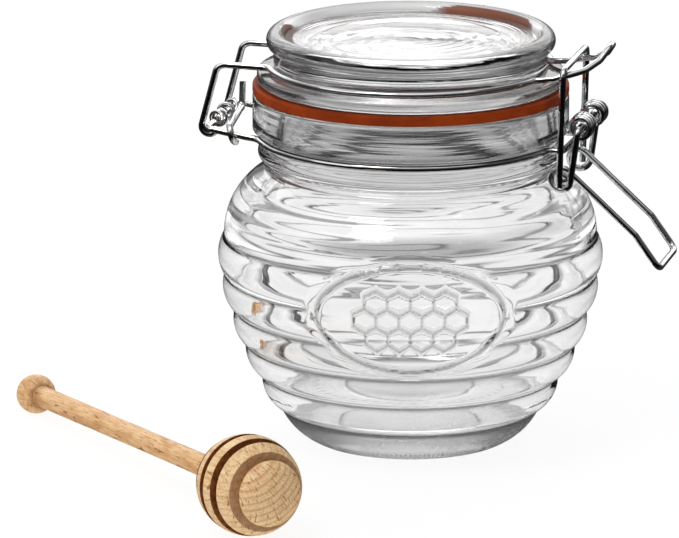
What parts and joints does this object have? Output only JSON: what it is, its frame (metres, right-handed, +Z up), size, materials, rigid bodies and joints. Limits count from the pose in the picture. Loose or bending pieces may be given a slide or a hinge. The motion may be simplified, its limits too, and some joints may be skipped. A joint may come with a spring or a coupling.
{
  "type": "honey pot with dipper",
  "caption": "Ridged beehive jar of clear glass with a hinged glass lid, rubber gasket and wire toggle latch, and a grooved wooden honey dipper lying beside it.",
  "frame": {"origin": "middle of the jar's flat underside", "axes": "+Z up through the jar's axis, +X towards the toggle latch, -X towards the wire hinge, Y along both pivot axes"},
  "size_m": [0.1821, 0.1693, 0.1131],
  "materials": {
    "clear_glass": "clear pressed glass, glossy",
    "orange_rubber": "satin",
    "bright_wire": "bright plated steel wire",
    "beech_wood": "plain sanded beech, unvarnished"
  },
  "bodies": {
    "jar": {"jar": "clear_glass", "neck_wire": "bright_wire", "hinge_tie": "bright_wire", "dipper": "beech_wood"},
    "lid": {"lid": "clear_glass", "gasket": "orange_rubber", "lid_wire": "bright_wire"},
    "hook": {"hook": "bright_wire"},
    "lever": {"lever": "bright_wire"}
  },
  "joints": [
    {"name": "lid_hinge", "type": "hinge", "parent": "jar", "child": "lid", "pos_m": [-0.0524, 0, 0.0868], "axis": [0, -1, 0], "range_deg": [0, 180]},
    {"name": "lever_pivot", "type": "hinge", "parent": "jar", "child": "lever", "pos_m": [0.0487, 0, 0.091], "axis": [0, -1, 0], "range_deg": [0, 135]},
    {"name": "hook_swing", "type": "hinge", "parent": "lid", "child": "hook", "pos_m": [0.045, 0, 0.1075], "axis": [0, -1, 0], "range_deg": [0, 60]}
  ]
}
